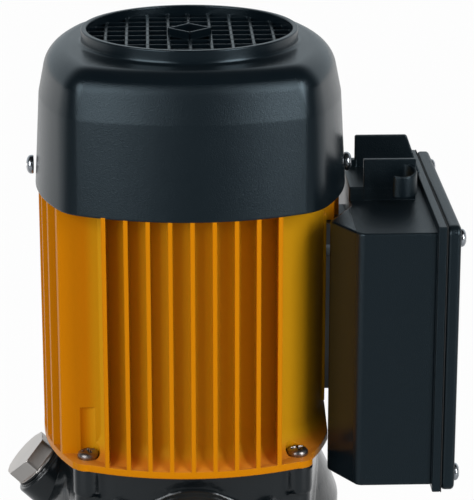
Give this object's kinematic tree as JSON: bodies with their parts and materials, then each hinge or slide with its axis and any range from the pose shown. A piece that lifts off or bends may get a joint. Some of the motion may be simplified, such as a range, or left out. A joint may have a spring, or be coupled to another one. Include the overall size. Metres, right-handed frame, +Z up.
{
  "type": "vertical multistage pump",
  "caption": "Close-coupled multistage pump standing upright: finned motor with fan cowl and terminal box, cast head with front port, tie-rod barrel and foot base.",
  "frame": {"origin": "pump axis at the underside of the foot", "axes": "+Z up along the shaft, -Y out of the discharge port, +X towards the terminal box"},
  "size_m": [0.2064, 0.162, 0.4352],
  "materials": {
    "orange_paint": "semi-gloss enamel on cast aluminium",
    "black_moulding": "fine moulded grain",
    "black_enamel": "glossy black enamel on cast iron",
    "stainless": "brushed stainless sheet",
    "zinc_steel": "bright zinc plate",
    "dark_steel": "dark oxide",
    "plated_brass": "nickel plate",
    "bare_aluminium": "as cast and machined",
    "rubber": "moulded rubber",
    "copper": "enamelled copper wire",
    "core_steel": "stacked steel sheet",
    "carbon": "lapped carbon",
    "fibre": "pressed fibre",
    "white_plastic": "moulded"
  },
  "bodies": {
    "root": {"base_casting": "black_enamel", "outer_sleeve": "stainless", "base_o_ring": "rubber", "head_o_ring": "rubber", "tie_rods": "zinc_steel", "tie_nuts": "zinc_steel", "tie_washers": "zinc_steel", "stage_bowl_1": "stainless", "stage_bowl_2": "stainless", "stage_bowl_3": "stainless", "stage_bowl_4": "stainless", "guide_bush": "carbon", "pump_head": "black_enamel", "seal_seat": "carbon", "motor_housing": "orange_paint", "housing_screws": "dark_steel", "cowl_screws": "zinc_steel", "lower_bearing_outer": "core_steel", "upper_bearing_outer": "core_steel", "stator_core": "core_steel", "stator_windings": "copper", "upper_end_shield": "bare_aluminium", "end_shield_screws": "zinc_steel", "wave_spring": "zinc_steel", "fan_cowl": "black_moulding", "terminal_box": "black_moulding", "box_lid": "black_moulding", "lid_gasket": "rubber", "lid_screws": "zinc_steel", "box_adapter": "bare_aluminium", "terminal_block": "white_plastic", "capacitor": "bare_aluminium", "cable_gland": "black_moulding", "gland_nut": "black_moulding"},
    "rotor": {"shaft": "stainless", "shaft_nut": "stainless", "shaft_spacers": "stainless", "impeller_1": "stainless", "impeller_2": "stainless", "impeller_3": "stainless", "impeller_4": "stainless", "seal_collar": "stainless", "seal_spring": "stainless", "seal_ring": "carbon", "slinger": "rubber", "lower_bearing_inner": "core_steel", "lower_bearing_balls": "zinc_steel", "rotor_core": "core_steel", "upper_bearing_inner": "core_steel", "upper_bearing_balls": "zinc_steel", "cooling_fan": "black_moulding", "fan_clip": "dark_steel"},
    "filler_plug_body": {"filler_plug": "plated_brass", "filler_plug_washer": "rubber"},
    "drain_plug_body": {"drain_plug": "plated_brass", "drain_plug_washer": "fibre"}
  },
  "joints": [
    {"name": "rotor_spin", "type": "hinge", "parent": "root", "child": "rotor", "pos_m": [0, 0, 0.2], "axis": [0, 0, 1], "continuous": true},
    {"name": "filler_plug_out", "type": "slide", "parent": "root", "child": "filler_plug_body", "axis": [-0.7193, 0, 0.6947], "range_m": [0, 0.014]},
    {"name": "drain_plug_out", "type": "slide", "parent": "root", "child": "drain_plug_body", "axis": [0, -1, 0], "range_m": [0, 0.011]}
  ]
}
